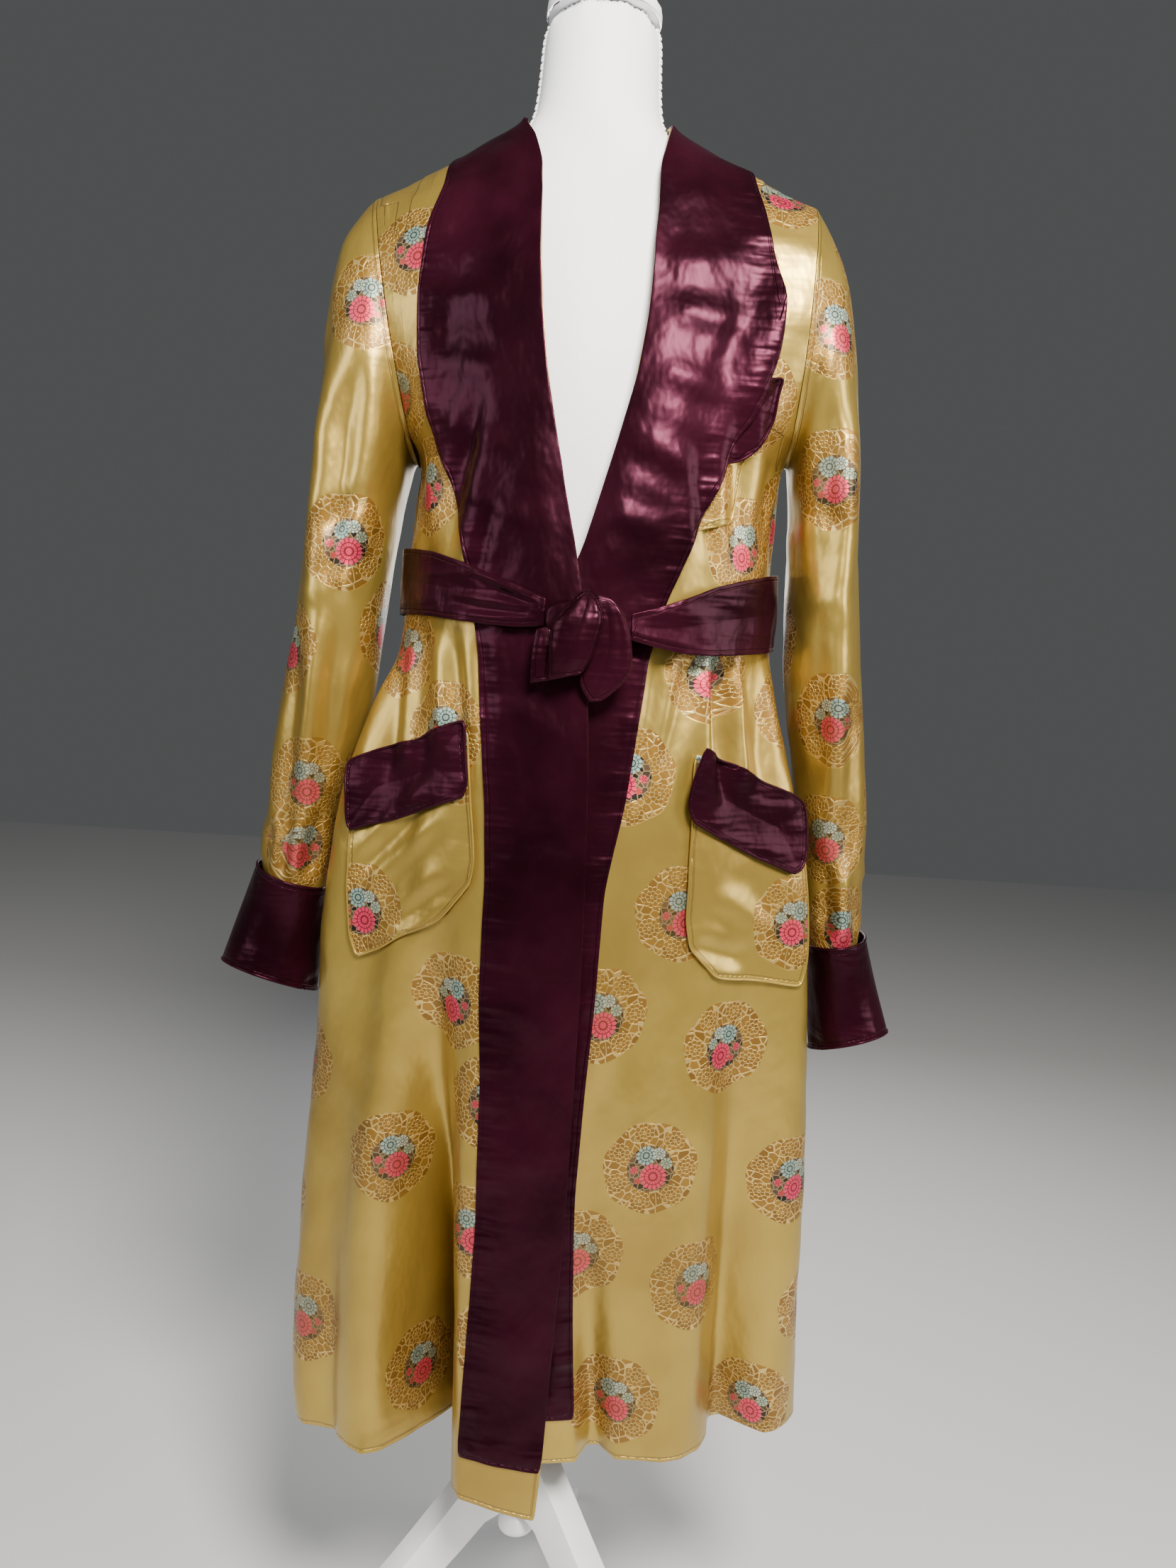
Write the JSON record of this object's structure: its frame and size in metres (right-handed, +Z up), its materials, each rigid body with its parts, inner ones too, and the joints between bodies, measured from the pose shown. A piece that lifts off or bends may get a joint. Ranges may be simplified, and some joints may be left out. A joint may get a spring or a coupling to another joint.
{
  "type": "smoking jacket on a dress form stand",
  "caption": "Long gold satin brocade smoking jacket with burgundy shawl collar, cuffs, pocket tops and tied belt, worn on a white limbless dress form on a tripod stand.",
  "frame": {"origin": "middle of the whole object's footprint, on the floor", "axes": "+Z up, the front looks along -Y, +X towards the wearer's left side; the wearer's right front laps on top at -X"},
  "size_m": [0.667, 0.5512, 1.705],
  "materials": {
    "gold_brocade": "satin brocade with woven floral roundels",
    "burgundy_satin": "lustrous satin",
    "form_cover": "smooth white jersey cover",
    "white_stand": "white satin paint"
  },
  "bodies": {
    "root": {"front_right": "gold_brocade", "front_left": "gold_brocade", "back": "gold_brocade", "sleeve_right": "gold_brocade", "sleeve_left": "gold_brocade", "cuff_right": "burgundy_satin", "cuff_left": "burgundy_satin", "collar_band_right": "burgundy_satin", "collar_band_left": "burgundy_satin", "pocket_right": "gold_brocade", "pocket_top_right": "burgundy_satin", "pocket_left": "gold_brocade", "pocket_top_left": "burgundy_satin", "breast_pocket": "gold_brocade", "breast_pocket_top": "burgundy_satin", "belt": "burgundy_satin", "belt_knot": "burgundy_satin", "belt_loop": "burgundy_satin", "belt_end_left": "burgundy_satin", "belt_end_right": "burgundy_satin", "form_torso": "form_cover", "form_neck_cap": "form_cover", "form_pole": "white_stand", "form_pole_foot": "white_stand", "leg_right": "white_stand", "leg_left": "white_stand", "leg_back": "white_stand"}
  },
  "joints": []
}
